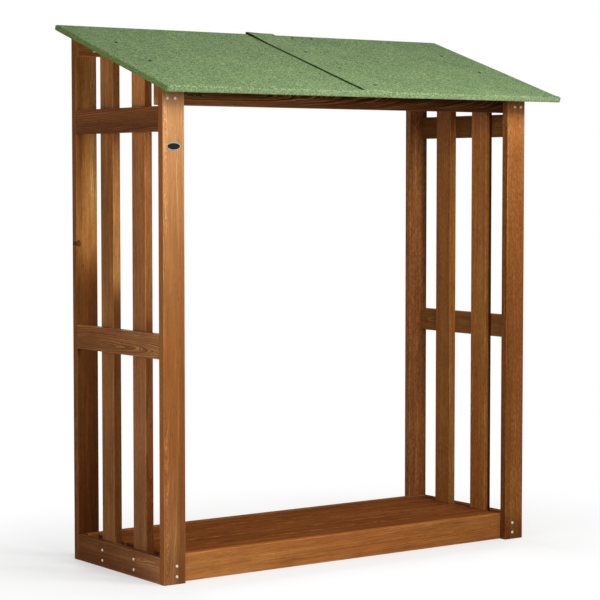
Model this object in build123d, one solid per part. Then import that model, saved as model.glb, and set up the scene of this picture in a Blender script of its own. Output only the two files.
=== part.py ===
"""Open-fronted timber log store with a mono-pitch felt roof.

Millimetres, +Z up. The opening faces -Y, the roof rises towards +Y, and the origin lies on
the ground under the middle of the whole store, roof overhangs included.
"""
from build123d import *
from math import cos, radians, sin, tan
import os

# ---------------------------------------------------------------- driving dimensions
WIDTH = 1730.0              # outside to outside of the posts
DEPTH = 660.0               # front face of the front posts to rear face of the rear posts
EAVE_HEIGHT = 1828.5        # ground to the deck's underside, at the front posts' front face
ROOF_SLOPE = 18.0           # degrees, rising to the rear

BOARD_T = 28.0              # thickness of rails, beams and floor
POST_T = 32.0
POST_W = 92.0               # width of a post's broad face
SLAT_T = 32.0
SLAT_W = 92.0               # width of a side slat
SLAT_COUNT = 2              # slats on each side
RAIL_H = 92.0               # height of a middle or upper side rail
SIDE_SILL_H = 98.5          # height of the bottom side rails, and of the floor
CROSS_SILL_H = 102.5        # height of the front and rear bottom rails
FRONT_BEAM_H = 107.5        # front top beam, at its rear (higher) face
REAR_BEAM_H = 91.5          # rear top beam, at its rear (higher) face
RAIL_BEAM_GAP = 4.0         # upper side rail to the underside of the front beam
SLAT_GROUND_GAP = 5.0       # slat foot to the ground
ARRIS_R = 2.0               # rounding of every board's long edges

FLOOR_BOARD_COUNT = 5
FLOOR_GAP = 16.0            # between floor boards, and beside the first and last
FLOOR_END_GAP = 3.0         # floor board end to the slats
BEARER_COUNT = 4
BEARER_INSET = 60.0         # slat face to the centre of the outer bearers

RAFTER_T = 28.0
RAFTER_D = 45.0             # rafter depth, square to the slope
FRONT_OVERHANG = 134.5      # level distances, from the posts' faces to the deck's underside edges
REAR_OVERHANG = 5.0
SIDE_OVERHANG = 64.0
DECK_T = 14.5
DECK_BOARD_COUNT = 9
DECK_JOINT_R = 1.2          # eased edges along the deck boards' joints

FELT_T = 2.0
FELT_LAP = 94.0             # the right sheet lies this far over the left one
FELT_LAP_X = -11.0          # middle of the lap
FELT_LAP_FALL = 30.0        # length over which the right sheet comes down onto the deck
FELT_DRIP = 4.0             # turned-down felt hangs this far below the deck
EAVES_STRIP_W = 8.0         # strip's leg on the roof's top

BADGE_W = 60.0
BADGE_H = 30.0
BADGE_T = 1.6
BADGE_BELOW_BEAM = 149.0    # badge centre below the front beam's underside

# ---------------------------------------------------------------- places worked out from them
slope = radians(ROOF_SLOPE)
front_reach = DEPTH / 2 + FRONT_OVERHANG + FELT_T * cos(slope) + (DECK_T + 2 * FELT_T) * sin(slope)
rear_reach = DEPTH / 2 + REAR_OVERHANG + FELT_T * cos(slope) + FELT_DRIP * sin(slope)
foot_y = (front_reach - rear_reach) / 2     # middle of the four posts' footprint

half_w = WIDTH / 2
y_front = foot_y - DEPTH / 2                # front posts' front face
y_rear = foot_y + DEPTH / 2                 # rear posts' rear face
y_front_post = y_front + POST_T             # front posts' rear face
y_rear_post = y_rear - POST_T               # rear posts' front face
y_bay_front = y_front_post + BOARD_T        # inner face of the front beam and bottom rail
y_bay_rear = y_rear_post - BOARD_T          # inner face of the rear ones
slat_outer_x = half_w - BOARD_T
slat_inner_x = slat_outer_x - SLAT_T


def deck_under(y):
    """Height of the deck's underside at y."""
    return EAVE_HEIGHT + (y - y_front) * tan(slope)


front_beam_z = deck_under(y_bay_front) - FRONT_BEAM_H
rear_beam_z = deck_under(y_rear_post) - REAR_BEAM_H
upper_rail_z = front_beam_z - RAIL_BEAM_GAP - RAIL_H
middle_rail_z = (upper_rail_z + RAIL_H) / 2 - RAIL_H / 2

deck_len = (FRONT_OVERHANG + DEPTH + REAR_OVERHANG) / cos(slope)
deck_half_w = half_w + SIDE_OVERHANG
deck_front_y = y_front - FRONT_OVERHANG
# Roof pieces are built flat in this plane: X across, Y up the slope, Z out of the deck's underside.
roof_plane = Plane(
    origin=(0, deck_front_y, deck_under(deck_front_y)),
    x_dir=(1, 0, 0),
    z_dir=(0, -sin(slope), cos(slope)),
)

sides = {"left": -1, "right": 1}


# ---------------------------------------------------------------- shapes
def block(x, y, z):
    """A plain block between two values on each axis."""
    low = (min(x), min(y), min(z))
    size = (max(x) - low[0], max(y) - low[1], max(z) - low[2])
    return Pos(*low) * Box(*size, align=(Align.MIN, Align.MIN, Align.MIN))


def eased(solid, axis, radius=ARRIS_R):
    """Round the edges that run along an axis."""
    return fillet(solid.edges().filter_by(axis), radius)


def rail(x, y, z):
    """A level board, with its four longest edges rounded."""
    long_axis = Axis.X if max(x) - min(x) > max(y) - min(y) else Axis.Y
    return eased(block(x, y, z), long_axis)


def side_profile(points, x):
    """Extrude an outline of (y, z) points between two x values."""
    face = make_face(Plane.YZ * Polyline(*points, close=True))
    return Pos(min(x), 0, 0) * extrude(face, amount=max(x) - min(x), dir=(1, 0, 0))


def upright(x, y, foot):
    """A board standing on its end, its top cut to the deck's slope."""
    y0, y1 = min(y), max(y)
    points = [(y0, foot), (y1, foot), (y1, deck_under(y1)), (y0, deck_under(y0))]
    return eased(side_profile(points, x), Axis.Z)


def top_beam(y, underside):
    """A full-width beam under the deck, its top planed to the slope."""
    y0, y1 = min(y), max(y)
    points = [(y0, underside), (y1, underside), (y1, deck_under(y1)), (y0, deck_under(y0))]
    beam = side_profile(points, (-half_w, half_w))
    lower_edges = beam.edges().filter_by(Axis.X).group_by(Axis.Z)[0]
    return fillet(lower_edges, ARRIS_R)


def mirrored(side, near, far):
    """Two x values on the given side."""
    return (sides[side] * near, sides[side] * far)


# ---------------------------------------------------------------- frame
def make_posts():
    posts = {}
    for side in sides:
        x = mirrored(side, half_w - POST_W, half_w)
        posts[f"post_front_{side}"] = upright(x, (y_front, y_front_post), 0)
        posts[f"post_rear_{side}"] = upright(x, (y_rear_post, y_rear), 0)
    return posts


def make_cross_members():
    """Members against the posts' inner faces: beams of full width, and rails between the side rails."""
    between_sides = (-slat_outer_x, slat_outer_x)
    return {
        "bottom_rail_front": rail(between_sides, (y_front_post, y_bay_front), (0, CROSS_SILL_H)),
        "bottom_rail_rear": rail(between_sides, (y_bay_rear, y_rear_post), (0, CROSS_SILL_H)),
        "top_beam_front": top_beam((y_front_post, y_bay_front), front_beam_z),
        "top_beam_rear": top_beam((y_bay_rear, y_rear_post), rear_beam_z),
    }


def make_side_rails():
    """Three rails a side, between the posts and flush with their outer edges."""
    heights = {
        "bottom": (0, SIDE_SILL_H),
        "middle": (middle_rail_z, middle_rail_z + RAIL_H),
        "upper": (upper_rail_z, upper_rail_z + RAIL_H),
    }
    rails = {}
    for side in sides:
        x = mirrored(side, slat_outer_x, half_w)
        for place, z in heights.items():
            rails[f"side_rail_{side}_{place}"] = rail(x, (y_front_post, y_rear_post), z)
    return rails


def make_slats():
    """Slats stand inside the side rails, with equal gaps between the posts."""
    gap = (y_rear_post - y_front_post - SLAT_COUNT * SLAT_W) / (SLAT_COUNT + 1)
    slats = {}
    for side in sides:
        x = mirrored(side, slat_inner_x, slat_outer_x)
        for i in range(SLAT_COUNT):
            y0 = y_front_post + gap + i * (SLAT_W + gap)
            slats[f"slat_{side}_{i + 1}"] = upright(x, (y0, y0 + SLAT_W), SLAT_GROUND_GAP)
    return slats


# ---------------------------------------------------------------- floor
def make_floor():
    """Boards level with the tops of the bottom side rails, on bearers that stand on the ground."""
    floor = {}
    bearer_top = SIDE_SILL_H - BOARD_T
    first_x = -slat_inner_x + BEARER_INSET
    pitch_x = -2 * first_x / (BEARER_COUNT - 1)
    for i in range(BEARER_COUNT):
        x = first_x + i * pitch_x
        bearer_x = (x - BOARD_T / 2, x + BOARD_T / 2)
        floor[f"floor_bearer_{i + 1}"] = rail(bearer_x, (y_bay_front, y_bay_rear), (0, bearer_top))

    span = y_bay_rear - y_bay_front
    board_w = (span - (FLOOR_BOARD_COUNT + 1) * FLOOR_GAP) / FLOOR_BOARD_COUNT
    board_x = (-slat_inner_x + FLOOR_END_GAP, slat_inner_x - FLOOR_END_GAP)
    for i in range(FLOOR_BOARD_COUNT):
        y0 = y_bay_front + FLOOR_GAP + i * (board_w + FLOOR_GAP)
        floor[f"floor_board_{i + 1}"] = rail(board_x, (y0, y0 + board_w), (bearer_top, SIDE_SILL_H))
    return floor


# ---------------------------------------------------------------- roof
def make_rafters():
    """Rafters between the two beams: one against each side's slats, and one in the middle."""
    drop = RAFTER_D / cos(slope)
    y0, y1 = y_bay_front, y_bay_rear
    points = [
        (y0, deck_under(y0) - drop),
        (y1, deck_under(y1) - drop),
        (y1, deck_under(y1)),
        (y0, deck_under(y0)),
    ]
    outer = slat_inner_x - RAFTER_T
    places = {"left": -slat_inner_x, "middle": -RAFTER_T / 2, "right": outer}
    return {
        f"rafter_{name}": side_profile(points, (x, x + RAFTER_T))
        for name, x in places.items()
    }


def make_deck():
    """Deck boards run across the roof, side by side up the slope."""
    board_w = deck_len / DECK_BOARD_COUNT
    boards = {}
    for i in range(DECK_BOARD_COUNT):
        board = block((-deck_half_w, deck_half_w), (i * board_w, (i + 1) * board_w), (0, DECK_T))
        under_edges = board.edges().filter_by(Axis.X).group_by(Axis.Z)[0]
        boards[f"deck_board_{i + 1}"] = roof_plane * fillet(under_edges, DECK_JOINT_R)
    return boards


def make_felt():
    """Two felt sheets with their edges turned down over the deck, and a strip over the eaves."""
    lap_left = FELT_LAP_X - FELT_LAP / 2
    lap_right = FELT_LAP_X + FELT_LAP / 2
    skin = DECK_T + FELT_T
    outer = deck_half_w + FELT_T
    rear = deck_len + FELT_T

    left = block((-outer, lap_right), (0, rear), (-FELT_DRIP, skin))
    left -= block((-deck_half_w, lap_right), (0, deck_len), (-FELT_DRIP, DECK_T))

    section = Polyline(
        (lap_left, skin),
        (lap_right, skin),
        (lap_right, DECK_T),
        (outer, DECK_T),
        (outer, skin),
        (lap_right + FELT_LAP_FALL, skin),
        (lap_right, skin + FELT_T),
        (lap_left, skin + FELT_T),
        close=True,
    )
    cover = extrude(make_face(Plane.XZ * section), amount=-(rear - EAVES_STRIP_W), dir=(0, -1, 0))
    cover = Pos(0, EAVES_STRIP_W, 0) * cover
    eaves_part = block((lap_right, outer), (0, EAVES_STRIP_W), (DECK_T, skin))
    turned_down = block((lap_right, outer), (0, rear), (-FELT_DRIP, DECK_T))
    turned_down -= block((lap_right, deck_half_w), (0, deck_len), (-FELT_DRIP, DECK_T))
    right = cover + eaves_part + turned_down

    strip = block((-outer, outer), (-FELT_T, EAVES_STRIP_W), (-FELT_DRIP, skin + FELT_T))
    strip -= block((-outer, outer), (0, EAVES_STRIP_W), (-FELT_DRIP, skin))
    return {
        "felt_left": roof_plane * left,
        "felt_right": roof_plane * right,
        "felt_eaves_strip": roof_plane * strip,
    }


# ---------------------------------------------------------------- badge
def make_badge():
    """Blank oval plate on the front left post."""
    centre = (-half_w + POST_W / 2, y_front, front_beam_z - BADGE_BELOW_BEAM)
    face_plane = Plane(origin=centre, x_dir=(1, 0, 0), z_dir=(0, -1, 0))
    plate = extrude(Ellipse(BADGE_W / 2, BADGE_H / 2), amount=BADGE_T)
    return {"badge_plate": face_plane * plate}


def make_store():
    nodes = {}
    makers = (
        make_posts,
        make_cross_members,
        make_side_rails,
        make_slats,
        make_floor,
        make_rafters,
        make_deck,
        make_felt,
        make_badge,
    )
    for maker in makers:
        nodes.update(maker())
    return nodes


os.makedirs("parts", exist_ok=True)
for node, solid in make_store().items():
    export_step(solid, f"parts/{node}.step")
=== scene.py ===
"""Looks of the log store: wood, felt, fixings, badge, light and camera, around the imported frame.

Metres, +Z up. Places come from the frame's own boxes and vertices.
"""
import math
import random

import bmesh
import bpy
from mathutils import Matrix, Vector, noise


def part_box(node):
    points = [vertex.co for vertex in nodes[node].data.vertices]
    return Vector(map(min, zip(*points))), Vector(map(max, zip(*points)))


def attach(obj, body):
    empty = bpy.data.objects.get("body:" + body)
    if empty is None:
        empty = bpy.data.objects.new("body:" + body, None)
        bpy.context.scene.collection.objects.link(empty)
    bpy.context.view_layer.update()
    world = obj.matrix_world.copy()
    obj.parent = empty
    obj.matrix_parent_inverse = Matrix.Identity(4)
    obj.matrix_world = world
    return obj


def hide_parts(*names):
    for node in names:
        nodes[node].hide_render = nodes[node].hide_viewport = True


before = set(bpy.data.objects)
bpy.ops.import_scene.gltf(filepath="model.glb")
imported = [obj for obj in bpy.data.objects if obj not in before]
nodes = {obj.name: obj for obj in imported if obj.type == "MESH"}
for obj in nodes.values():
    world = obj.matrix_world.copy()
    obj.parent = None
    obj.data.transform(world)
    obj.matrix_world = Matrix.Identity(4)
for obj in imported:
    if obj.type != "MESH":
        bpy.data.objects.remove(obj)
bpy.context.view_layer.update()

# -------------------------------------------- camera
CAMERA_PLACE = (-4.772, -6.5574, 1.4865)
CAMERA_YAW = math.radians(35.636)       # from +Y towards +X
CAMERA_PITCH = math.radians(-3.458)
LENS = 123.5

# -------------------------------------------- felt
FELT_T = 0.002
FELT_FOLD_R = 0.006             # outer radius where the felt turns down over the deck
FELT_CELL = 0.012               # mesh cell on the flat of a sheet
LEAST_CELL = 0.0018
NAIL_CELLS = (-0.015, -0.010, -0.006, -0.003, 0.0, 0.003, 0.006, 0.010, 0.015)  # lines by a nail
LAP_LIFT = 0.0040               # slack under the free edge of the upper sheet, at the eaves
LAP_SLACK_LOSS = 0.28           # share of that slack that is lost up the roof
LAP_SLACK_SPAN = (0.2, 0.7)     # shares of the roof's length between which it is lost
LAP_FALL = 0.030                # length over which the upper sheet comes down onto the deck
LAP_REAR_FROM = 0.75            # share of the roof's length from which the lap changes:
LAP_REAR_LIFT = 0.0040          # how much more the upper sheet stands up at the rear,
LAP_REAR_SPREAD = 0.033         # how much further over it lies
LAP_REAR_SHORTER = 0.012        # and over how much less it comes down
STRIP_END_R = 0.0065            # rounding of the eaves strip's ends
STRIP_ROOM = 0.0008             # room under the strip for the sheets' waves
STRIP_CLIMB = 0.004             # length over which the strip climbs onto the upper sheet
STRIP_WAVE = 0.0005
WAVE = 0.0006                   # height of the sheets' waves over the deck boards
NAIL_DIMPLE = 0.0008            # how far a nail pulls the felt down
NAIL_DIMPLE_R = 0.012

# -------------------------------------------- fixings
SCREW_R = 0.0058
SCREW_H = 0.0030
SCREW_RECESS = 0.0014           # depth of the cross in a screw's head
CLOUT_R = 0.0070
CLOUT_PROUD = 0.0003            # how far a clout nail's head stands off the felt
BRAD_R = 0.0016
FLOOR_NAIL_R = 1.6 * BRAD_R

DECK_BOARDS = 9
FLOOR_BOARDS = 5
BEARERS = 4

SIDES = (("left", -1), ("right", 1))

X_AXIS = Vector((1, 0, 0))
Y_AXIS = Vector((0, 1, 0))
Z_AXIS = Vector((0, 0, 1))


def mid(node):
    """Centre of a node's box."""
    low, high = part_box(node)
    return (Vector(low) + Vector(high)) / 2


# The roof's plane: U up the slope, N out of its top.
FIRST_DECK = "deck_board_1"
LAST_DECK = f"deck_board_{DECK_BOARDS}"
rise = mid(LAST_DECK) - mid(FIRST_DECK)
slope = math.atan2(rise.z, rise.y)
U_AXIS = Vector((0, math.cos(slope), math.sin(slope)))
N_AXIS = Vector((0, -math.sin(slope), math.cos(slope)))


def span(node, axis):
    """Lowest and highest value of a node's vertices along an axis."""
    values = [axis.dot(v.co) for v in nodes[node].data.vertices]
    return min(values), max(values)


# ============================================ shader nodes
def srgb(red, green, blue):
    """A colour given as 0 to 255 values, as linear light."""
    def linear(value):
        v = value / 255
        return v / 12.92 if v <= 0.04045 else ((v + 0.055) / 1.055) ** 2.4
    return (linear(red), linear(green), linear(blue), 1.0)


class Tree:
    """Adds nodes to a tree. Each value is a number, a tuple or another node's output."""

    def __init__(self, tree):
        self.tree = tree

    def add(self, kind, values=None, **settings):
        node = self.tree.nodes.new("ShaderNode" + kind)
        for name, value in settings.items():
            setattr(node, name, value)
        for name, value in (values or {}).items():
            if isinstance(value, bpy.types.NodeSocket):
                self.tree.links.new(value, node.inputs[name])
            else:
                node.inputs[name].default_value = value
        return node

    def math(self, operation, a, b=0.0, c=0.0, clamp=False):
        return self.add("Math", {0: a, 1: b, 2: c}, operation=operation, use_clamp=clamp).outputs[0]

    def total(self, made, *others):
        for other in others:
            made = self.math("ADD", made, other)
        return made

    def product(self, made, *others):
        for other in others:
            made = self.math("MULTIPLY", made, other)
        return made

    def vector(self, operation, a, b=(0, 0, 0)):
        node = self.add("VectorMath", {0: a, 1: b}, operation=operation)
        return node.outputs["Value" if operation in ("DOT_PRODUCT", "LENGTH") else "Vector"]

    def scaled(self, a, factor):
        return self.add("VectorMath", {0: a, "Scale": factor}, operation="SCALE").outputs[0]

    def split(self, vector):
        return self.add("SeparateXYZ", {0: vector}).outputs

    def join(self, x, y, z):
        return self.add("CombineXYZ", {0: x, 1: y, 2: z}).outputs[0]

    def ramp(self, value, low, high, out_low=0.0, out_high=1.0):
        """A smooth step from out_low to out_high as value goes from low to high."""
        values = {"Value": value, "From Min": low, "From Max": high, "To Min": out_low, "To Max": out_high}
        return self.add("MapRange", values, interpolation_type="SMOOTHSTEP").outputs[0]

    def mix(self, factor, a, b, blend="MIX"):
        node = self.add("Mix", {0: factor, 6: a, 7: b}, data_type="RGBA", blend_type=blend)
        return node.outputs[2]

    def noise(self, vector, scale, detail, roughness=0.5):
        values = {"Vector": vector, "Scale": scale, "Detail": detail, "Roughness": roughness}
        return self.add("TexNoise", values).outputs[0]

    def cells(self, vector, scale):
        return self.add("TexVoronoi", {"Vector": vector, "Scale": scale}).outputs


def new_group(name, inputs, outputs):
    """An empty node group with typed sockets, as (group, Tree, its input sockets)."""
    group = bpy.data.node_groups.new(name, "ShaderNodeTree")
    kinds = {"v": "NodeSocketVector", "f": "NodeSocketFloat", "c": "NodeSocketColor"}
    for direction, sockets in (("INPUT", inputs), ("OUTPUT", outputs)):
        for socket, kind in sockets.items():
            group.interface.new_socket(socket, in_out=direction, socket_type=kinds[kind])
    entry = group.nodes.new("NodeGroupInput")
    return group, Tree(group), entry.outputs


def new_material(name):
    """A material with its Principled shader, as (material, Tree, shader node)."""
    material = bpy.data.materials.new(name)
    material.use_nodes = True
    tree = material.node_tree
    return material, Tree(tree), tree.nodes["Principled BSDF"]


def surface(t, shader, color, roughness, height, depth):
    """Wire a pattern to the shader. depth is the relief in metres where height goes from 0 to 1."""
    bump = t.add("Bump", {"Height": height, "Distance": depth, "Strength": 1.0})
    t.tree.links.new(color, shader.inputs["Base Color"])
    t.tree.links.new(roughness, shader.inputs["Roughness"])
    t.tree.links.new(bump.outputs[0], shader.inputs["Normal"])


# ============================================ wood
PATCHES = 3                     # patches of thicker or thinner stain, and of painted light and shade, on a board
KNOT_SHADE = -1.25
KNOT_CHANCE = 0.08
DEEPENING = (1.0, 1.23, 1.35)   # how fast red, green and blue darken with the shade
PALE_STAIN_AND_PAINTED_LIGHT = srgb(182, 138, 94)


class Pine:
    """Patterns of stained pine in a board's own space: X along the grain, Y across it, Z through it.

    A shade is a logarithm: 0 is the plain stain, and shades add up.
    """

    def __init__(self, t, given):
        self.t = t
        self.given = given
        self.place = given["Place"]
        self.along, self.across, self.through = t.split(self.place)
        self.seeded = t.vector("ADD", self.place, given["Seed"])
        half_length, self.half_width, self.half_thickness = t.split(given["Half"])
        self.part = t.math("DIVIDE", self.along, half_length)           # -1 to 1 along the board
        inward = t.vector("SUBTRACT", given["Half"], t.vector("ABSOLUTE", self.place))
        _, self.inward_y, self.inward_z = t.split(inward)
        self.narrow = t.ramp(self.inward_y, 0.0003, 0.0012, 1.0, 0.0)   # 1 on the narrow edges
        self.broad = t.math("SUBTRACT", 1.0, self.narrow)
        self.end = t.ramp(given["Along"], 0.5, 0.9)                     # 1 on the cut ends
        self.streaks = self.pattern(2.6, 70, 3.0, 0.6)
        self.fibres = self.pattern(40, 650, 2.0, 0.7)
        self.blotches = self.pattern(7, 16, 3.0, 0.6)

    def stretched(self, x, y):
        """Coordinates for a pattern with x features a metre along the grain and y across it."""
        return self.t.vector("MULTIPLY", self.seeded, (x, y, y))

    def pattern(self, x, y, detail=1.0, roughness=0.5):
        """A value from 0 to 1 at such coordinates."""
        return self.t.noise(self.stretched(x, y), 1.0, detail, roughness)

    def wander(self, x, y, detail, reach):
        """A vector that varies about zero by up to about reach metres."""
        t = self.t
        made = t.add("TexNoise", {"Vector": self.stretched(x, y), "Scale": 1.0, "Detail": detail})
        return t.scaled(t.vector("SUBTRACT", made.outputs["Color"], (0.5, 0.5, 0.5)), reach)

    def knot(self):
        """How far a knot pushes the rings out, and how dark it is: its heart and its bark-dark rim."""
        t = self.t
        knot_along, knot_across, radius = t.split(self.given["Knot"])
        reach = t.join(
            t.product(t.math("SUBTRACT", self.along, knot_along), 0.75),
            t.math("SUBTRACT", self.across, knot_across),
            0.0,
        )
        distance = t.math("DIVIDE", t.vector("LENGTH", reach), t.math("MAXIMUM", radius, 0.0001))
        ragged = self.pattern(90, 90, 2.0)
        distance = t.math("MULTIPLY_ADD", ragged, 0.7, t.math("SUBTRACT", distance, 0.35))
        near = t.math("EXPONENT", t.product(distance, distance, -0.16))
        push = t.product(near, radius, 1.5)
        rim = t.product(t.ramp(distance, 0.55, 0.95), t.ramp(distance, 0.95, 1.5, 1.0, 0.0))
        heart = t.ramp(distance, 0.7, 1.7, 0.7, 0.0)
        present = t.ramp(radius, 0.0005, 0.002)
        return push, t.product(t.math("MAXIMUM", rim, heart), present)

    def rings(self, knot_push):
        """Late and early wood by distance from the pith: arches on a flat face, lines on an edge."""
        t = self.t
        pith = t.vector("ADD", self.given["Pith"], t.scaled(self.given["Tilt"], self.along))
        offset = t.vector("SUBTRACT", self.place, pith)
        for x, y, detail, reach in ((1.1, 3, 1.0, 0.030), (7, 20, 1.0, 0.008), (30, 110, 2.0, 0.0025)):
            offset = t.vector("ADD", offset, self.wander(x, y, detail, reach))
        radius = t.math("ADD", t.vector("LENGTH", t.vector("MULTIPLY", offset, (0, 1, 1))), knot_push)
        coordinate = {"W": t.product(radius, 110), "Detail": 1.0}
        uneven = t.add("TexNoise", coordinate, noise_dimensions="1D").outputs[0]
        years = t.math("MULTIPLY_ADD", uneven, 1.6, t.math("DIVIDE", radius, self.given["Ring"]))
        season = t.math("FRACT", years)
        late = t.product(t.ramp(season, 0.45, 0.75), t.ramp(season, 0.86, 0.96, 1.0, 0.0))
        early = t.math("MAXIMUM", t.ramp(season, 0.88, 0.98), t.ramp(season, 0.0, 0.35, 1.0, 0.0))
        return late, early

    def figure_shade(self, late, early):
        """Late wood takes less stain, and the early wood after it more."""
        t = self.t
        patchy = t.ramp(self.pattern(2.5, 22, 2.0), 0.36, 0.62, 0.2, 1.0)
        contrast = t.math("MULTIPLY_ADD", early, -0.42, t.product(late, 0.62))
        return t.product(contrast, self.given["Figure"], patchy)

    def grain_shade(self):
        """Streaks and fibres run along the grain, blotches show where stain pooled."""
        t = self.t
        bands = self.pattern(0.8, 17)
        short_streaks = self.pattern(13, 170, 2.0, 0.65)
        amounts = (
            (bands, 0.45),
            (self.streaks, 0.75),
            (short_streaks, 0.65),
            (self.fibres, 0.35),
            (self.blotches, 0.4),
        )
        grain = [t.product(t.math("SUBTRACT", value, 0.5), amount) for value, amount in amounts]
        speckles = t.math("SUBTRACT", self.pattern(65, 130, 3.0, 0.7), 0.5)
        flecks = t.ramp(self.pattern(28, 230), 0.66, 0.76)
        return t.total(
            t.product(t.total(*grain), self.given["Grain"]),
            t.product(speckles, self.given["Mottle"]),
            t.product(flecks, -0.30),
        )

    def edge_shade(self):
        """End grain drinks stain and arrises are rubbed paler. The narrow edges get painted light and
        shade: their own shades low and high on the board, and a painted shadow by the far face.
        """
        t = self.t
        near_arris = t.ramp(t.math("MAXIMUM", self.inward_y, self.inward_z), 0.001, 0.0045, 1.0, 0.0)
        worn = t.product(near_arris, self.blotches)
        low, high, far = t.split(self.given["Edge"])
        upper = t.ramp(t.math("SUBTRACT", self.part, self.given["Turn"]), -0.08, 0.08)
        shade = t.math("MULTIPLY_ADD", upper, t.math("SUBTRACT", high, low), low)
        # Painted shadow on the thickness's - side of the narrow edges, where a post in front of the board
        # shades it.
        by_far_face = t.ramp(t.math("DIVIDE", self.through, self.half_thickness), -0.55, 0.20, 1.0, 0.0)
        shade = t.math("MULTIPLY_ADD", by_far_face, far, shade)
        return t.total(
            t.product(self.end, self.given["Cut"]),
            t.product(worn, 0.45),
            t.product(self.narrow, shade),
        )

    def stain_and_painted_shade(self):
        """The broad faces are darker low down and darker or lighter in long patches: thicker or thinner
        stain on some boards, painted light and shade on others.
        """
        t = self.t
        amount, start, full = t.split(self.given["Foot"])
        shade = t.product(amount, t.ramp(self.part, start, full))
        swayed = t.vector("ADD", self.place, self.wander(3, 25, 1.0, 0.012))
        for number in range(1, PATCHES + 1):
            patch_along, patch_across, amount = t.split(self.given[f"Patch {number}"])
            middle = t.join(patch_along, patch_across, 0.0)
            off = t.vector("DIVIDE", t.vector("SUBTRACT", swayed, middle), self.given[f"Spread {number}"])
            distance = t.vector("LENGTH", t.vector("MULTIPLY", off, (1, 1, 0)))
            near = t.math("EXPONENT", t.product(distance, distance, -1.0))
            shade = t.math("MULTIPLY_ADD", near, amount, shade)
        return t.product(shade, self.broad)

    def torn_grain_shade(self):
        """Torn grain shows as fine pale curls beside the left arris, near the board's ends."""
        t = self.t
        off_line = t.math("ABSOLUTE", t.math("SUBTRACT", self.pattern(42, 130), 0.5))
        from_arris = t.math("ADD", self.across, self.half_width)
        off_strip = t.math("ABSOLUTE", t.math("SUBTRACT", from_arris, 0.012))
        on_line = t.ramp(off_line, 0.010, 0.040, 1.0, 0.0)
        curls = t.product(on_line, t.ramp(off_strip, 0.004, 0.009, 1.0, 0.0))
        curls = t.product(curls, t.ramp(t.math("ABSOLUTE", self.part), 0.34, 0.44))
        return t.product(curls, self.broad, self.given["Curls"])

    def thinning_and_painted_light(self, start):
        """How far the broad faces have faded, from start to the board's end or ends: thinner stain on some
        boards, painted light and shade on others.
        """
        t = self.t
        reach = t.math("ADD", 1.0, t.math("ABSOLUTE", start))
        far = t.math("DIVIDE", t.math("SUBTRACT", self.part, start), reach)
        return t.product(far, far, self.broad)

    def color(self, shade, paleness):
        """A thicker stain is not only darker but redder and fuller. Paleness mixes in the pale wood:
        thinner stain, and on some boards painted light.
        """
        t = self.t
        depth = t.join(*(t.math("EXPONENT", t.product(shade, power)) for power in DEEPENING))
        hue = t.ramp(self.pattern(1.1, 19, 2.0), 0.3, 0.7)
        tint = t.mix(hue, (1.03, 0.965, 0.96, 1), (0.97, 1.04, 1.00, 1))
        full = t.vector("MULTIPLY", t.vector("MULTIPLY", self.given["Stain"], tint), depth)
        pale = t.vector("MULTIPLY", PALE_STAIN_AND_PAINTED_LIGHT[:3], depth)
        return t.mix(paleness, full, pale)


def make_timber_group():
    """The pattern of every board, with what differs from board to board as its inputs."""
    inputs = {
        "Place": "v",       # metres from the board's centre
        "Half": "v",        # half its length, width and thickness
        "Along": "f",       # how squarely the surface is cut across the grain
        "Pith": "v",        # tree's centre line: X unused, Y and Z at the board's middle
        "Tilt": "v",        # how far that line leaves the grain, per metre of length
        "Ring": "f",        # width of a year's ring
        "Seed": "v",
        "Knot": "v",        # along, across, radius
        "Stain": "c",
        "Figure": "f",      # strength of the rings
        "Grain": "f",       # strength of the streaks and bands
        # Fade is thinner stain, and on some boards painted light and shade.
        "Fade": "v",        # lighter, paler, and where along the board it starts
        "Foot": "v",        # shade of the lower part, and where along the board it starts and is full
        # Edge and Turn set painted light and shade on the narrow edges.
        "Edge": "v",        # shade of the narrow edges: lower part, upper part, and by the far face
        "Turn": "f",        # where along the board the edges' upper part starts
        "Cut": "f",         # shade of the end grain
        "Curls": "f",       # strength of the torn grain beside the left arris
        "Mottle": "f",      # strength of fine speckles where the stain took unevenly
    }
    for number in range(1, PATCHES + 1):
        inputs[f"Patch {number}"] = "v"     # along, across, shade
        inputs[f"Spread {number}"] = "v"    # its half length and half width
    group, t, given = new_group("stained_pine", inputs, {"Color": "c", "Roughness": "f", "Height": "f"})

    pine = Pine(t, given)
    knot_push, knot = pine.knot()
    late, early = pine.rings(knot_push)
    lighter, paler, start = t.split(given["Fade"])
    # The faded share: thinner stain, and on some boards painted light and shade.
    thin_and_painted_light = pine.thinning_and_painted_light(start)
    shade = t.total(
        pine.grain_shade(),
        pine.figure_shade(late, early),
        t.product(knot, KNOT_SHADE),
        pine.edge_shade(),
        pine.stain_and_painted_shade(),
        pine.torn_grain_shade(),
        t.product(thin_and_painted_light, lighter),
    )
    color = pine.color(shade, t.math("MULTIPLY", thin_and_painted_light, paler, clamp=True))
    rough = t.math("MULTIPLY_ADD", pine.streaks, 0.16, t.math("MULTIPLY_ADD", pine.end, 0.2, 0.46))
    height = t.math("MULTIPLY_ADD", late, 0.35, t.product(pine.fibres, 0.6))
    height = t.math("MULTIPLY_ADD", knot, -0.6, height)
    leave = group.nodes.new("NodeGroupOutput")
    for name, value in {"Color": color, "Roughness": rough, "Height": height}.items():
        group.links.new(value, leave.inputs[name])
    return group


timber = make_timber_group()

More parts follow.
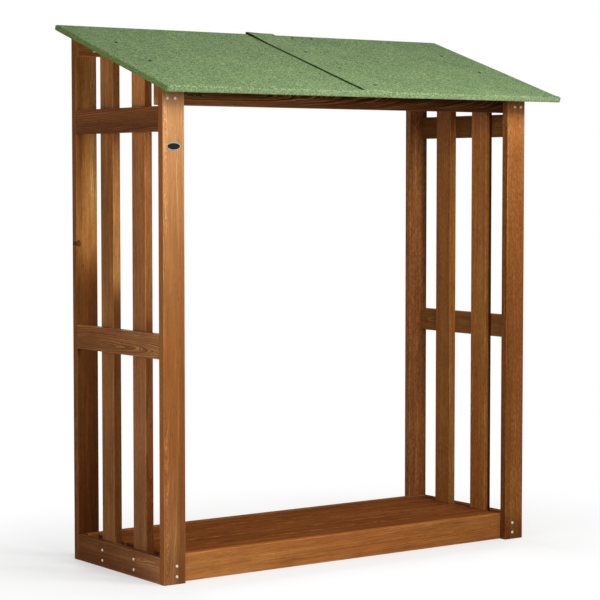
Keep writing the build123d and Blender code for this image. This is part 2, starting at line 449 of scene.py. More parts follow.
# Each kind of board: the directions of its length, width and thickness, right-handed.
POST = (Z_AXIS, X_AXIS, Y_AXIS)
SLAT = (Z_AXIS, Y_AXIS, -X_AXIS)
CROSS_BOARD = (X_AXIS, Z_AXIS, -Y_AXIS)
SIDE_BOARD = (Y_AXIS, Z_AXIS, X_AXIS)
FLOOR_BOARD = (X_AXIS, Y_AXIS, Z_AXIS)
RAFTER = (U_AXIS, N_AXIS, X_AXIS)
DECK_BOARD = (X_AXIS, U_AXIS, N_AXIS)

STAINS = {
    "straw": srgb(170, 115, 60),
    "honey": srgb(152, 93, 47),
    "russet": srgb(152, 90, 42),
    "amber": srgb(136, 83, 38),
    "tan": srgb(140, 90, 47),
    "cocoa": srgb(140, 86, 54),
    "chestnut": srgb(136, 83, 43),
    "walnut": srgb(104, 58, 27),
    "umber": srgb(78, 43, 19),
}

# Board: (directions, stain, tone, figure, where its pith lies across it in half widths).
BOARDS = {
    "post_front_left": (POST, "honey", 0.82, 0.6, -0.95),
    "post_front_right": (POST, "russet", 0.65, 0.4, 1.7),
    "post_rear_left": (POST, "straw", 1.12, 0.5, 1.5),
    "post_rear_right": (POST, "chestnut", 0.97, 0.5, -1.4),
    "top_beam_front": (CROSS_BOARD, "umber", 1.15, 2.2, -0.2),
    "top_beam_rear": (CROSS_BOARD, "tan", 1.35, 0.8, 0.3),
    "bottom_rail_front": (CROSS_BOARD, "honey", 0.97, 0.5, 1.3),
    "bottom_rail_rear": (CROSS_BOARD, "chestnut", 0.9, 0.6, -0.5),
    "side_rail_left_upper": (SIDE_BOARD, "walnut", 0.98, 1.1, 1.2),
    "side_rail_left_middle": (SIDE_BOARD, "chestnut", 0.8, 1.2, -0.45),
    "side_rail_left_bottom": (SIDE_BOARD, "cocoa", 0.61, 0.9, 0.6),
    "side_rail_right_upper": (SIDE_BOARD, "tan", 0.54, 0.8, 0.4),
    "side_rail_right_middle": (SIDE_BOARD, "tan", 0.82, 0.9, 0.0),
    "side_rail_right_bottom": (SIDE_BOARD, "cocoa", 0.65, 0.9, -0.6),
    "slat_left_1": (SLAT, "chestnut", 1.03, 0.5, 1.6),
    "slat_left_2": (SLAT, "tan", 1.0, 0.5, -1.3),
    "slat_right_1": (SLAT, "amber", 1.2, 0.5, 1.2),
    "slat_right_2": (SLAT, "amber", 1.03, 0.5, -1.8),
}
for number in range(1, BEARERS + 1):
    BOARDS[f"floor_bearer_{number}"] = (SIDE_BOARD, "umber", 1.0, 0.5, 0.2)
for number in range(1, FLOOR_BOARDS + 1):
    BOARDS[f"floor_board_{number}"] = (FLOOR_BOARD, "walnut", 1.2, 0.7, 0.5 * number - 1.6)
for number in range(1, DECK_BOARDS + 1):
    BOARDS[f"deck_board_{number}"] = (DECK_BOARD, "walnut", 1.1, 0.7, 0.4 * number - 2.0)
for place in ("left", "middle", "right"):
    BOARDS[f"rafter_{place}"] = (RAFTER, "walnut", 1.0, 0.6, 0.5)

# How a board's colour changes towards an end or both: (lighter, paler, from where along it, -1 to 1). The
# front posts' pale tops are partly thinner stain, partly painted light and a painted highlight; the front
# sill's lighter left end is painted light; the rear-left post's darker foot is painted shade.
FADES = {
    # painted highlight and painted light at the top, with thinner stain
    "post_front_left": (0.32, 0.55, -0.27),
    # painted light at the top, with thinner stain
    "post_front_right": (0.80, 0.03, -0.15),
    # painted shade down the lower post
    "post_rear_left": (-0.85, 0.0, 1.0),
    "top_beam_front": (0.82, 0.0, 1.4),
    # painted light at the left end
    "bottom_rail_front": (0.4, 0.0, 1.0),
    "side_rail_left_middle": (0.10, 0.18, 1.0),
    "side_rail_left_bottom": (0.72, 0.0, 1.0),
    "slat_left_1": (0.0, 0.28, 1.0),
    "slat_left_2": (-0.06, 0.09, 1.0),
}

# Shade of the lower part of a board, and where along it, -1 to 1, it starts and is full.
FEET = {
    "post_front_left": (-0.22, -0.82, -0.96),
    "post_front_right": (-0.75, -0.84, -1.0),
    # painted shade of logs stacked in the bay, over the post's lower half
    "post_rear_left": (-1.02, 0.22, 0.02),
    "slat_left_1": (-0.30, -0.45, -0.72),
}

# Painted light and shade on the narrow edges: lower part, upper part, and a painted shadow by the far
# face, on the thickness's - side. Low on the left slats it is the painted shade of logs stacked in the
# bay.
EDGES = {
    "post_front_left": (0.05, 0.0, 0.0),
    "post_front_right": (-0.62, -0.23, 0.0),
    "post_rear_left": (-1.10, -0.92, 0.0),
    "slat_left_1": (-0.33, 0.42, 0.0),
    "slat_left_2": (-0.75, 0.47, 0.0),
    # painted shadow of the front-right post on the outer half of its front edge
    "slat_right_1": (0.15, 0.15, -1.9),
    "slat_right_2": (0.20, 0.20, 0.0),
}

# Where along a board, -1 to 1, its edges' upper part starts, if that isn't -0.2.
TURNS = {
    "post_front_right": -0.88,
    "post_rear_left": -0.55,
    "slat_left_1": -0.02,
    "slat_left_2": 0.04,
}

# Patches of thicker or thinner stain, and of painted light and shade: (along, across, shade, half length,
# half width), in metres.
PATCHES_SEEN = {
    "post_front_left": ((-0.82, 0.032, -0.42, 0.90, 0.018),),
    "slat_left_1": (
        # painted light near the top, under the roof's overhang
        (0.88, 0.0, 0.66, 0.24, 0.09),
        (0.40, 0.0, 0.09, 0.30, 0.20),
    ),
    "slat_left_2": (
        # painted light near the top, under the roof's overhang
        (0.90, 0.0, 0.25, 0.12, 0.09),
        (0.42, 0.0, -0.20, 0.25, 0.20),
        (-0.68, 0.0, -0.24, 0.25, 0.20),
    ),
    "top_beam_front": ((0.85, 0.0, -0.48, 0.35, 0.20),),
    "side_rail_left_upper": (
        (-0.05, -0.036, -0.32, 0.60, 0.024),
        (0.05, 0.032, 0.16, 0.60, 0.026),
    ),
    "post_rear_left": (
        (0.62, -0.030, -0.45, 0.45, 0.020),
        (0.45, 0.022, 0.42, 0.26, 0.024),
        # painted shade of logs stacked in the bay, low on its right side
        (-0.55, 0.030, -0.35, 0.70, 0.020),
    ),
    "post_rear_right": (
        # painted shadow of the right slats on its outer part
        (0.50, 0.048, -1.2, 0.90, 0.024),
        (0.45, -0.018, 0.32, 0.28, 0.025),
    ),
    "post_front_right": ((-0.45, -0.034, -0.25, 0.80, 0.016),),
}

GRAINS = {"post_front_left": 0.6}       # strength of the streaks, where it isn't 1
CUTS = {"top_beam_front": 0.3}          # shade of the end grain, where it isn't -0.45
CURLS = {"post_front_left": 0.5}        # strength of the torn grain, where there is any

# How speckled the stain is, where that isn't 0.25.
MOTTLES = {
    "post_front_right": 1.6,
    "post_rear_right": 1.8,
    "slat_right_1": 1.1,
    "slat_right_2": 1.2,
    "post_rear_left": 0.6,
    "slat_left_1": 0.6,
    "slat_left_2": 0.6,
    "side_rail_right_upper": 0.5,
}

# Knots that show: (along, across, radius), in metres from the board's centre.
KNOTS = {
    "post_rear_left": (0.205, -0.038, 0.0075),
    "side_rail_right_middle": (-0.12, 0.01, 0.007),
}


def wood_material(node, directions, stain, tone, figure, heart):
    """One board's own pine: its rings, knots and tone are drawn from its name."""
    draw = random.Random(node)
    lengths = [span(node, axis) for axis in directions]
    centre = sum(((low + high) / 2 * axis for (low, high), axis in zip(lengths, directions)), Vector())
    half = [(high - low) / 2 for low, high in lengths]
    turn = Matrix(directions).transposed().to_euler()

    material, t, shader = new_material("wood_" + node)
    board_space = {"Vector": t.add("TexCoord").outputs["Object"], "Location": centre, "Rotation": turn}
    local = t.add("Mapping", board_space, vector_type="TEXTURE")
    normal = t.add("NewGeometry").outputs["Normal"]
    square = t.math("ABSOLUTE", t.vector("DOT_PRODUCT", normal, directions[0]))
    board = t.add("Group", node_tree=timber)
    deep = half[2] + draw.uniform(0.003, 0.012) + 0.02 * max(0.0, abs(heart) - 1.0)
    values = {
        "Half": half,
        "Pith": (0, heart * half[1], -deep),
        "Tilt": (0, draw.uniform(-0.015, 0.015), draw.choice((-1, 1)) * draw.uniform(0.03, 0.07)),
        "Ring": draw.uniform(0.0052, 0.0074),
        "Seed": [draw.uniform(-50, 50) for _ in range(3)],
        "Stain": tuple(channel * tone for channel in STAINS[stain][:3]) + (1,),
        "Figure": figure,
        "Fade": FADES.get(node, (0, 0, 0)),
        "Grain": GRAINS.get(node, 1.0),
        "Mottle": MOTTLES.get(node, 0.25),
        "Foot": FEET.get(node, (0, 0, 0)),
        "Edge": EDGES.get(node, (0, 0, 0)),
        "Turn": TURNS.get(node, -0.2),
        "Cut": CUTS.get(node, -0.45),
        "Curls": CURLS.get(node, 0.0),
    }
    patches = PATCHES_SEEN.get(node, ())
    for number in range(1, PATCHES + 1):
        patch = patches[number - 1] if number <= len(patches) else (0, 0, 0, 1, 1)
        values[f"Patch {number}"] = patch[:3]
        values[f"Spread {number}"] = patch[3:] + (1,)
    radius = draw.uniform(0.004, 0.008) if draw.random() < KNOT_CHANCE else 0.0
    drawn_knot = (draw.uniform(-0.9, 0.9) * half[0], draw.uniform(-0.8, 0.8) * half[1], radius)
    values["Knot"] = KNOTS.get(node, drawn_knot)
    for name, value in values.items():
        board.inputs[name].default_value = value
    t.tree.links.new(local.outputs[0], board.inputs["Place"])
    t.tree.links.new(square, board.inputs["Along"])
    matt = directions is FLOOR_BOARD or "bottom" in node
    shader.inputs["Specular IOR Level"].default_value = 0.0 if matt else 0.035
    surface(t, shader, board.outputs["Color"], board.outputs["Roughness"], board.outputs["Height"], 0.0004)
    return material


def dress(node, material):
    """Give a CAD node a material."""
    mesh = nodes[node].data
    if not mesh.materials:
        mesh.materials.append(material)
    for slot in nodes[node].material_slots:
        slot.material = material


for node, row in BOARDS.items():
    dress(node, wood_material(node, *row))


# ============================================ pieces
def new_piece(name, bm, *materials):
    """An object in the scene, made of a bmesh."""
    mesh = bpy.data.meshes.new(name)
    bm.to_mesh(mesh)
    bm.free()
    for material in materials:
        mesh.materials.append(material)
    piece = bpy.data.objects.new(name, mesh)
    bpy.context.scene.collection.objects.link(piece)
    return piece


def skin(bm, rows, ring=False):
    """Faces between neighbouring rows of vertices. In a ring, the last vertex is next to the first."""
    for lower, upper in zip(rows, rows[1:]):
        if ring:
            lower, upper = lower + lower[:1], upper + upper[:1]
        for corners in zip(lower, lower[1:], upper[1:], upper):
            bm.faces.new(corners)


def small_piece(name, bm, material):
    """A smooth-shaded piece of trim that rides on the store."""
    piece = new_piece(name, bm, material)
    for polygon in piece.data.polygons:
        polygon.use_smooth = True
    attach(piece, "root")
    return piece


def clouded(name, colors, rough, scale, detail=3.0, metallic=0.0, gloss=0.5, uneven=0.2, depth=0.0001):
    """A metal or a coating whose colour, roughness and height vary a little with one cloudy pattern."""
    material, t, shader = new_material(name)
    cloud = t.noise(t.add("TexCoord").outputs["Object"], scale, detail)
    shader.inputs["Metallic"].default_value = metallic
    shader.inputs["Specular IOR Level"].default_value = gloss
    surface(t, shader, t.mix(cloud, *colors), t.math("MULTIPLY_ADD", cloud, uneven, rough), cloud, depth)
    return material


# ============================================ felt
def felt_material():
    """Bitumen felt faced with crushed green mineral granules, worn pale where it is folded, with painted
    light and shade on its turned-down faces.
    """
    material, t, shader = new_material("felt_granules")
    place = t.add("TexCoord").outputs["Object"]
    grains = t.cells(place, 640)
    clusters = t.cells(place, 235)
    lumps = t.noise(place, 280, 2.0, 0.6)
    patches = t.noise(place, 7, 3.0, 0.6)
    shade, bare, pale = t.split(grains["Color"])
    cluster_shade, cluster_bare, cluster_pale = t.split(clusters["Color"])
    normal = t.add("NewGeometry").outputs["Normal"]
    upright = t.ramp(t.vector("DOT_PRODUCT", normal, tuple(N_AXIS)), 0.2, 0.8, 1.0, 0.0)

    # Granules and clusters differ in shade, and a few are bare or pale. The folds are more even.
    tone = t.math("MULTIPLY_ADD", shade, 0.5, 0.75)
    for factor in (
        t.math("MULTIPLY_ADD", cluster_shade, 0.8, 0.6),
        t.ramp(lumps, 0.25, 0.75, 0.72, 1.28),
        t.ramp(patches, 0.25, 0.75, 0.92, 1.08),
        t.ramp(bare, 0.95, 0.98, 1.0, 0.35),
        t.ramp(cluster_bare, 0.94, 0.97, 1.0, 0.5),
    ):
        tone = t.product(tone, factor)
    tone = t.math("MULTIPLY_ADD", t.math("SUBTRACT", 0.97, tone), t.product(upright, 0.35), tone)
    # Painted light and shade on the turned-down faces: darker towards the left end, lighter towards the
    # right.
    fold_painted_light = t.ramp(t.split(place)[0], -0.9, 0.9, -0.165, 0.085)
    tone = t.product(tone, t.math("MULTIPLY_ADD", upright, fold_painted_light, 0.955))
    color = t.mix(t.ramp(cluster_shade, 0.2, 0.9), srgb(107, 137, 91), srgb(124, 145, 97))
    worn = t.product(upright, 0.07)
    for paler in (t.ramp(pale, 0.96, 0.99, 0.0, 0.6), t.ramp(cluster_pale, 0.95, 0.98, 0.0, 0.4)):
        worn = t.math("MAXIMUM", worn, paler)
    color = t.mix(worn, color, srgb(196, 196, 164))
    # Painted shade: faces turned sideways are tinted a fuller yellow-green.
    sideways = t.ramp(t.math("ABSOLUTE", t.split(normal)[0]), 0.4, 0.9)
    color = t.mix(sideways, color, t.mix(1.0, color, (1.0, 1.08, 0.72, 1), "MULTIPLY"))
    color = t.scaled(color, tone)
    height = t.math("SUBTRACT", 1.0, grains["Distance"])
    height = t.math("MULTIPLY_ADD", lumps, 1.0, height)
    rough = t.math("MULTIPLY_ADD", shade, 0.1, 0.86)
    shader.inputs["Specular IOR Level"].default_value = 0.15
    surface(t, shader, color, rough, height, 0.0008)
    return material


def bitumen_material():
    """Black-green cut edge and underside of the felt."""
    material, t, shader = new_material("felt_bitumen")
    place = t.add("TexCoord").outputs["Object"]
    grit = t.noise(place, 400, 3.0, 0.7)
    color = t.mix(t.ramp(grit, 0.3, 0.8), srgb(34, 70, 8), srgb(60, 106, 26))
    rough = t.math("MULTIPLY_ADD", grit, 0.3, 0.6)
    shader.inputs["Specular IOR Level"].default_value = 0.06
    surface(t, shader, color, rough, grit, 0.0005)
    return material


granules = felt_material()
bitumen = bitumen_material()


# Roof space: x across, s up the slope from the deck's front edge, n out of the deck's top.
DECK_FRONT = span(FIRST_DECK, U_AXIS)[0]
DECK_UNDER, DECK_TOP = span(FIRST_DECK, N_AXIS)
DECK_T = DECK_TOP - DECK_UNDER
DECK_LEN = span(LAST_DECK, U_AXIS)[1] - DECK_FRONT
ROOF_HALF = span(FIRST_DECK, X_AXIS)[1] + FELT_T
LAP_LEFT = span("felt_right", X_AXIS)[0]
LAP_RIGHT = span("felt_left", X_AXIS)[1]
DRIP = DECK_UNDER - span("felt_eaves_strip", N_AXIS)[0]
STRIP_W = span("felt_eaves_strip", U_AXIS)[1] - DECK_FRONT

# Felt nails: a line's place across the roof, and distances up the slope.
NAIL_LINES = (
    (-0.800, (0.347, 0.602)),
    (0.060, (0.099, 0.338, 0.575)),
    (0.788, (0.348, 0.608)),
    (0.149, (0.804,)),
    (0.245, (0.804,)),
)
NAILS = [(x, s) for x, line in NAIL_LINES for s in line]


def roof_point(x, s, n):
    """A point of roof space in the part's frame."""
    return x * X_AXIS + (DECK_FRONT + s) * U_AXIS + (DECK_TOP + n) * N_AXIS


def smooth(value, low, high):
    """0 below low, 1 above high, and smooth between."""
    f = min(1.0, max(0.0, (value - low) / (high - low)))
    return f * f * (3 - 2 * f)


def grid_lines(start, stop, step, refine=()):
    """Evenly spaced values, with closer ones near each value of refine, none under LEAST_CELL apart."""
    count = max(1, round((stop - start) / step))
    values = {round(start + (stop - start) * i / count, 5) for i in range(count + 1)}
    for centre in refine:
        for distance in NAIL_CELLS:
            if start < centre + distance < stop:
                values.add(round(centre + distance, 5))
    ordered = sorted(values)
    kept = ordered[:1]
    for value in ordered[1:-1]:
        if value - kept[-1] > LEAST_CELL and stop - value > LEAST_CELL:
            kept.append(value)
    return kept + ordered[-1:]


def quarter_turn(steps):
    """Evenly spaced angles from 0 to 90 degrees."""
    return [math.pi / 2 * i / steps for i in range(steps + 1)]


def fold(edge, inward):
    """Profile of a turned-down edge, from its foot to the flat: (place, drop below the flat)."""
    arc = [
        (edge + inward * FELT_FOLD_R * (1 - math.cos(angle)), FELT_FOLD_R * (1 - math.sin(angle)))
        for angle in quarter_turn(5)
    ]
    foot = DECK_T + FELT_T + DRIP
    return [(edge, foot), (edge, foot - DRIP), (edge, (foot + FELT_FOLD_R) / 2)] + arc


def sheet_mesh(name, across, up, flat_height):
    """A felt sheet over a grid of profile points. Both profiles hold (place, drop)."""
    bm = bmesh.new()
    rows = []
    for s, drop_s in up:
        row = []
        for x, drop_x in across:
            n = flat_height(x, s) - max(drop_s, drop_x)
            row.append(bm.verts.new(roof_point(x, s, n)))
        rows.append(row)
    skin(bm, rows)
    bmesh.ops.remove_doubles(bm, verts=bm.verts, dist=2e-5)
    bmesh.ops.dissolve_degenerate(bm, edges=bm.edges, dist=1e-5)
    return felt_piece(name, bm)


def felt_piece(name, bm):
    """A felt surface made thick, with bitumen below and on its cut edges."""
    piece = new_piece(name, bm, granules, bitumen)
    thick = piece.modifiers.new("thickness", "SOLIDIFY")
    thick.thickness = FELT_T
    thick.offset = -1
    thick.material_offset = 1
    thick.material_offset_rim = 1
    seen = piece.evaluated_get(bpy.context.evaluated_depsgraph_get())
    mesh = bpy.data.meshes.new_from_object(seen)
    piece.modifiers.clear()
    piece.data = mesh
    for polygon in mesh.polygons:
        polygon.use_smooth = polygon.material_index == 0
    return piece


def ripple(x, s):
    """Slight waves of the felt over the deck boards."""
    return WAVE * (1 + noise.noise(Vector((x * 4.0, s * 6.0, 3.7))))


def dimples(x, s):
    """How far the nails pull the felt down."""
    return sum(
        NAIL_DIMPLE * math.exp(-((x - nail_x) ** 2 + (s - nail_s) ** 2) / NAIL_DIMPLE_R ** 2)
        for nail_x, nail_s in NAILS
    )


def lower_sheet_height(x, s):
    """Top of the left sheet above the deck."""
    return FELT_T + ripple(x, s) - dimples(x, s)


def upper_sheet_height(x, s):
    """The upper sheet lies over the lower one's edge, and stands up more towards the rear."""
    share = s / DECK_LEN
    rear = smooth(share, LAP_REAR_FROM, 1.0)
    top_end = LAP_RIGHT + LAP_REAR_SPREAD * rear
    fall = LAP_FALL - LAP_REAR_SHORTER * rear
    over = 1 - smooth(x, top_end, top_end + fall)
    free = smooth(-x, -LAP_RIGHT, -LAP_LEFT)
    slack = LAP_LIFT * (1 - LAP_SLACK_LOSS * smooth(share, *LAP_SLACK_SPAN))
    lift = FELT_T + slack * free + LAP_REAR_LIFT * rear
    return FELT_T + ripple(x, s) - dimples(x, s) + lift * over


def make_felt():
    """The two sheets, turned down over the deck's rear and side edges."""
    nail_x = [x for x, _ in NAILS]
    nail_s = [s for _, s in NAILS]
    flat_s = grid_lines(0.0, DECK_LEN + FELT_T - FELT_FOLD_R, FELT_CELL, nail_s)
    up = [(s, 0.0) for s in flat_s[:-1]] + fold(DECK_LEN + FELT_T, -1)[::-1]

    flat_x = grid_lines(-ROOF_HALF + FELT_FOLD_R, LAP_RIGHT, FELT_CELL, nail_x)
    across = fold(-ROOF_HALF, 1) + [(x, 0.0) for x in flat_x[1:]]
    left = sheet_mesh("felt_sheet_left", across, up, lower_sheet_height)

    flat_x = grid_lines(LAP_LEFT, ROOF_HALF - FELT_FOLD_R, FELT_CELL, nail_x)
    across = [(x, 0.0) for x in flat_x[:-1]] + fold(ROOF_HALF, -1)[::-1]
    right = sheet_mesh("felt_sheet_right", across, up, upper_sheet_height)
    return left, right


def make_eaves_strip():
    """A strip folded over the front edge, its ends rounded off with the sheets' edges."""
    top = 2 * FELT_T + STRIP_ROOM
    front = -FELT_T
    radius = FELT_FOLD_R
    profile = [(STRIP_W, top)]
    for angle in quarter_turn(6):
        profile.append((front + radius * (1 - math.sin(angle)), top - radius * (1 - math.cos(angle))))
    foot = -DECK_T - DRIP
    profile += [(front, (top - radius + foot) / 2), (front, foot + DRIP), (front, foot)]

    ends = [STRIP_END_R * (1 - math.cos(angle)) for angle in quarter_turn(5)[:-1]]
    between = grid_lines(-ROOF_HALF + STRIP_END_R, ROOF_HALF - STRIP_END_R, FELT_CELL)
    lines = [-ROOF_HALF + d for d in ends] + between + [ROOF_HALF - d for d in reversed(ends)]
    bm = bmesh.new()
    rows = []
    for x in lines:
        d = min(STRIP_END_R, ROOF_HALF - abs(x))
        sink = STRIP_END_R - math.sqrt(STRIP_END_R ** 2 - (STRIP_END_R - d) ** 2)
        on_upper = smooth(x, LAP_LEFT - STRIP_CLIMB, LAP_LEFT)
        over_lap = on_upper * (1 - smooth(x, LAP_RIGHT, LAP_RIGHT + LAP_FALL))
        wave = STRIP_WAVE * noise.noise(Vector((x * 9.0, 0.4, 8.1)))
        row = []
        for s, n in profile:
            height = (n - foot) / (top - foot)
            raised = n + over_lap * (FELT_T + LAP_LIFT) * height + wave
            raised = min(raised, top + over_lap * (FELT_T + LAP_LIFT) + wave - sink * height)
            raised = max(raised, foot + 0.45 * sink)
            row.append(bm.verts.new(roof_point(x, s + wave, raised)))
        rows.append(row)
    skin(bm, rows)
    return felt_piece("felt_strip_front", bm)


felt_pieces = (*make_felt(), make_eaves_strip())
for piece, node in zip(felt_pieces, ("felt_left", "felt_right", "felt_eaves_strip")):
    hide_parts(node)
    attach(piece, "root")


# ============================================ fixings
zinc = clouded("zinc_plate", (srgb(196, 190, 178), srgb(228, 223, 213)), 0.34, 350, metallic=0.4)
clout = clouded("clout_coating", (srgb(22, 32, 16), srgb(40, 54, 30)), 0.6, 500, gloss=0.1, depth=0.0002)
brad = clouded("brad_steel", (srgb(60, 44, 34), srgb(110, 92, 76)), 0.45, 600, detail=2.0, metallic=0.6)


def revolve(bm, place, outward, profile, segments, recess):
    """A head turned about outward, of (radius, height) pairs. recess sinks a cross into its crown."""
    side = outward.orthogonal().normalized()
    other = outward.cross(side)
    rings = []
    for radius, height in profile:
        ring = []
        for i in range(segments):
            angle = 2 * math.pi * i / segments
            across = math.cos(angle) * side + math.sin(angle) * other
            in_cross = radius < 0.62 * profile[0][0] and i % (segments // 4) == 0
            up = height - recess if in_cross else height
            ring.append(bm.verts.new(place + across * radius + outward * up))
        rings.append(ring)
    centre = bm.verts.new(place + outward * (profile[-1][1] - recess))
    skin(bm, rings, ring=True)
    for i in range(segments):
        bm.faces.new((rings[-1][i], rings[-1][(i + 1) % segments], centre))
    bm.faces.new(rings[0][::-1])


def heads(name, places, profile, material, segments, recess=0.0):
    """Many heads as one joined mesh. places holds (point, outward direction)."""
    bm = bmesh.new()
    for place, outward in places:
        revolve(bm, Vector(place), Vector(outward).normalized(), profile, segments, recess)
    small_piece(name, bm, material)


SCREW_PROFILE = [
    (SCREW_R, -0.0004),
    (SCREW_R, 0.0007),
    (0.93 * SCREW_R, 0.0016),
    (0.74 * SCREW_R, 0.0022),
    (0.58 * SCREW_R, 0.0025),
    (0.30 * SCREW_R, SCREW_H),
    (0.12 * SCREW_R, SCREW_H),
]
CLOUT_PROFILE = [
    (CLOUT_R, -0.0006),
    (CLOUT_R, 0.0010),
    (0.85 * CLOUT_R, 0.0016),
    (0.30 * CLOUT_R, 0.0018),
]
BRAD_PROFILE = [(BRAD_R, -0.0003), (BRAD_R, 0.0001), (0.6 * BRAD_R, 0.0003)]
FLOOR_NAIL_PROFILE = [(radius * FLOOR_NAIL_R / BRAD_R, height) for radius, height in BRAD_PROFILE]

FOOT_SCREW_Z = (0.027, 0.066)
FOOT_SCREW_IN = 0.054           # from a post's outer edge
HEAD_SCREW_IN = (0.022, 0.054)
HEAD_SCREW_UP = 0.024           # above the beam's underside
SLAT_FOOT_Z = (0.026, 0.0655)
REAR_HEAD_IN = 0.067
REAR_HEAD_UP = (0.020, 0.062)
SLAT_BRADS = ((-0.022, 0.020), (0.022, -0.020))     # along and up from where slat and rail cross
FLOOR_NAIL_OUT = 0.028          # from a floor board's middle line


def post_screws():
    """Screws through the posts into the beams and the bottom rails, front and rear."""
    found = []
    for end, outward in (("front", -Y_AXIS), ("rear", Y_AXIS)):
        beam_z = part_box(f"top_beam_{end}")[0][2]
        for side, sign in SIDES:
            low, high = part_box(f"post_{end}_{side}")
            face_y = low[1] if end == "front" else high[1]
            outer = sign * max(abs(low[0]), abs(high[0]))
            for z in FOOT_SCREW_Z:
                found.append(((outer - sign * FOOT_SCREW_IN, face_y, z), outward))
            for inset in HEAD_SCREW_IN:
                found.append(((outer - sign * inset, face_y, beam_z + HEAD_SCREW_UP), outward))
    return found


def side_screws():
    """Screws through the bottom side rails into each slat's foot."""
    found = []
    for side, sign in SIDES:
        low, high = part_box(f"side_rail_{side}_bottom")
        face_x = low[0] if sign < 0 else high[0]
        for number in (1, 2):
            y = mid(f"slat_{side}_{number}").y
            found += [((face_x, y, z), sign * X_AXIS) for z in SLAT_FOOT_Z]
    return found


def rear_beam_screws():
    """Screws through the rear beam's inner face into the posts behind it."""
    low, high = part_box("top_beam_rear")
    found = []
    for sign in (-1, 1):
        x = sign * (high[0] - REAR_HEAD_IN)
        found += [((x, low[1], low[2] + up), -Y_AXIS) for up in REAR_HEAD_UP]
    return found


heads("screws_posts", post_screws(), SCREW_PROFILE, zinc, 16, SCREW_RECESS)
heads("screws_side_rails", side_screws(), SCREW_PROFILE, zinc, 16, SCREW_RECESS)
heads("screws_rear_beam", rear_beam_screws(), SCREW_PROFILE, zinc, 16, SCREW_RECESS)


def roof_nails():
    """Clout nails in the felt's top."""
    found = []
    for x, s in NAILS:
        height = upper_sheet_height(x, s) if x > LAP_LEFT else lower_sheet_height(x, s)
        found.append((roof_point(x, s, height + CLOUT_PROUD), N_AXIS))
    return found


heads("nails_felt", roof_nails(), CLOUT_PROFILE, clout, 14)


def slat_brads():
    """Brads through the slats into the upper and middle rails, from inside."""
    found = []
    for side, sign in SIDES:
        for number in (1, 2):
            slat = f"slat_{side}_{number}"
            low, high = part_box(slat)
            face_x = high[0] if sign < 0 else low[0]
            for rail in ("upper", "middle"):
                z = mid(f"side_rail_{side}_{rail}").z
                for dy, dz in SLAT_BRADS:
                    found.append(((face_x, mid(slat).y + dy, z + dz), -sign * X_AXIS))
    return found


def floor_nails():
    """Two nails where each floor board crosses a bearer."""
    found = []
    for board in range(1, FLOOR_BOARDS + 1):
        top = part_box(f"floor_board_{board}")[1][2]
        middle = mid(f"floor_board_{board}")
        for bearer in range(1, BEARERS + 1):
            x = mid(f"floor_bearer_{bearer}").x
            found += [((x, middle.y + dy, top), Z_AXIS) for dy in (-FLOOR_NAIL_OUT, FLOOR_NAIL_OUT)]
    return found


heads("brads_slats", slat_brads(), BRAD_PROFILE, brad, 10)
heads("nails_floor", floor_nails(), FLOOR_NAIL_PROFILE, brad, 10)


# ============================================ badge
def oval_piece(name, rings, material, closed):
    """An oval of rings, each (inset from the plate's edge, height above the post's face)."""
    low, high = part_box("badge_plate")
    centre = mid("badge_plate")
    half_x = (high[0] - low[0]) / 2
    half_z = (high[2] - low[2]) / 2
    angles = [2 * math.pi * i / 48 for i in range(48)]
    bm = bmesh.new()
    made = []
    for inset, height in rings:
        made.append([
            bm.verts.new((
                centre.x + (half_x - inset) * math.cos(angle),
                high[1] - height,
                centre.z + (half_z - inset) * math.sin(angle),
            ))
            for angle in angles
        ])
    skin(bm, made + made[:1] if closed else made, ring=True)
    if not closed:
        bm.faces.new(made[-1])
        bm.faces.new(made[0][::-1])
    bmesh.ops.recalc_face_normals(bm, faces=bm.faces)
    return small_piece(name, bm, material)


NEAR_BLACK = (srgb(14, 17, 20), srgb(26, 30, 34))
PALE_GREY = (srgb(126, 138, 128), srgb(156, 168, 156))
enamel = clouded("badge_enamel", NEAR_BLACK, 0.5, 260, gloss=0.06, uneven=0.12)
rim_metal = clouded("badge_rim_metal", PALE_GREY, 0.5, 260, gloss=0.2, uneven=0.12)
PLATE_RINGS = [(0.0034, 0.0), (0.0034, 0.0012), (0.0050, 0.0014), (0.0085, 0.0016)]
RIM_RINGS = [(0.0, 0.0), (0.0, 0.0013), (0.0008, 0.0020)]
RIM_RINGS += [(0.0026, 0.0020), (0.0036, 0.0013), (0.0036, 0.0)]
plate = oval_piece("badge_face", PLATE_RINGS, enamel, closed=False)
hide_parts("badge_plate")
oval_piece("badge_rim", RIM_RINGS, rim_metal, closed=True)


# ============================================ stage
AMBIENT = 0.10
FLOOR_HALF = 40
FLOOR_GAP = 0.0005              # between the floor and the store's feet
SHADOW_FADE = (0.55, 1.7)       # distances from the middle between which the shadow fades out


def white_where_seen(t):
    """1 for rays that show the backdrop itself: from the camera, or seen in gloss or glass."""
    path = t.add("LightPath").outputs
    seen = t.math("MAXIMUM", path["Is Camera Ray"], path["Is Glossy Ray"])
    return t.math("MAXIMUM", seen, path["Is Transmission Ray"])


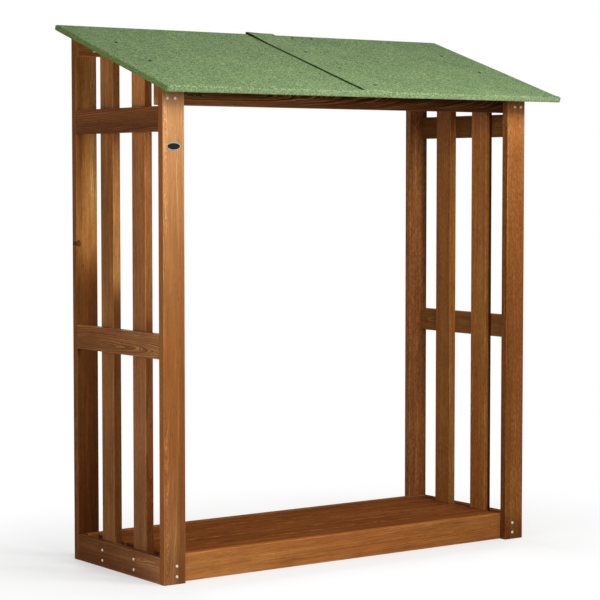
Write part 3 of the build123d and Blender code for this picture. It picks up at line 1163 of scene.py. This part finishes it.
def make_floor():
    """A pale floor that keeps the store's shadow near it and fades into the white backdrop."""
    material, t, shader = new_material("floor_paint")
    seen = t.add("LightPath").outputs["Is Camera Ray"]
    t.tree.links.new(t.mix(seen, (0.5, 0.5, 0.5, 1), (0.95, 0.95, 0.95, 1)), shader.inputs["Base Color"])
    shader.inputs["Roughness"].default_value = 0.9
    shader.inputs["Specular IOR Level"].default_value = 0.0
    glow = t.add("Emission", {"Color": (1, 1, 1, 1), "Strength": 1.0})
    place = t.add("TexCoord").outputs["Object"]
    away = t.vector("LENGTH", t.vector("MULTIPLY", place, (0.8, 1.0, 0)))
    fade = t.ramp(away, *SHADOW_FADE, 0.4, 1.0)
    factor = t.product(fade, white_where_seen(t))
    mixed = t.add("MixShader", {0: factor, 1: shader.outputs[0], 2: glow.outputs[0]})
    output = t.tree.nodes["Material Output"]
    t.tree.links.new(mixed.outputs[0], output.inputs["Surface"])
    bm = bmesh.new()
    for x, y in ((-1, -1), (1, -1), (1, 1), (-1, 1)):
        bm.verts.new((x * FLOOR_HALF, y * FLOOR_HALF, -FLOOR_GAP))
    bm.faces.new(bm.verts)
    new_piece("floor", bm, material)


def make_world():
    """White where it is seen, and a weak even light on the store."""
    world = bpy.data.worlds.new("studio")
    world.use_nodes = True
    bpy.context.scene.world = world
    t = Tree(world.node_tree)
    plain = t.add("Background", {"Color": (1, 1, 1, 1), "Strength": AMBIENT})
    white = t.add("Background", {"Color": (1, 1, 1, 1), "Strength": 1.0})
    mixed = t.add("MixShader", {0: white_where_seen(t), 1: plain.outputs[0], 2: white.outputs[0]})
    output = world.node_tree.nodes["World Output"]
    world.node_tree.links.new(mixed.outputs[0], output.inputs["Surface"])


def area_light(name, place, target, size, power):
    """A soft rectangular lamp that points at target."""
    light = bpy.data.lights.new(name, "AREA")
    light.shape = "RECTANGLE"
    light.size, light.size_y = size
    light.energy = power
    lamp = bpy.data.objects.new(name, light)
    lamp.location = place
    lamp.rotation_euler = (Vector(target) - Vector(place)).to_track_quat("-Z", "Y").to_euler()
    bpy.context.scene.collection.objects.link(lamp)


def make_camera():
    camera = bpy.data.objects.new("camera", bpy.data.cameras.new("camera"))
    camera.location = CAMERA_PLACE
    camera.rotation_euler = (math.pi / 2 + CAMERA_PITCH, 0, -CAMERA_YAW)
    camera.data.sensor_width = 36
    camera.data.lens = LENS
    bpy.context.scene.collection.objects.link(camera)
    bpy.context.scene.camera = camera


make_floor()
make_world()
area_light("key_right", (0.7, -2.5, 2.85), (0.0, 0.0, 1.15), (1.2, 0.9), 62)
area_light("key_left", (-0.9, -2.55, 2.2), (-0.4, 0.0, 1.3), (1.2, 0.9), 47)
area_light("top", (0.0, -0.2, 4.4), (0.0, 0.0, 1.9), (2.5, 2.5), 23)
area_light("fill_left", (-3.5, -0.8, 1.25), (-0.8, 0.0, 1.2), (2.0, 1.8), 40)
area_light("fill_right", (3.8, 0.8, 1.8), (0.8, 0.1, 1.2), (2.0, 2.0), 40)
area_light("fill_rear", (0.6, 3.8, 2.2), (0.0, 0.4, 1.1), (2.0, 1.5), 60)
make_camera()
bpy.context.scene.view_settings.view_transform = "Standard"
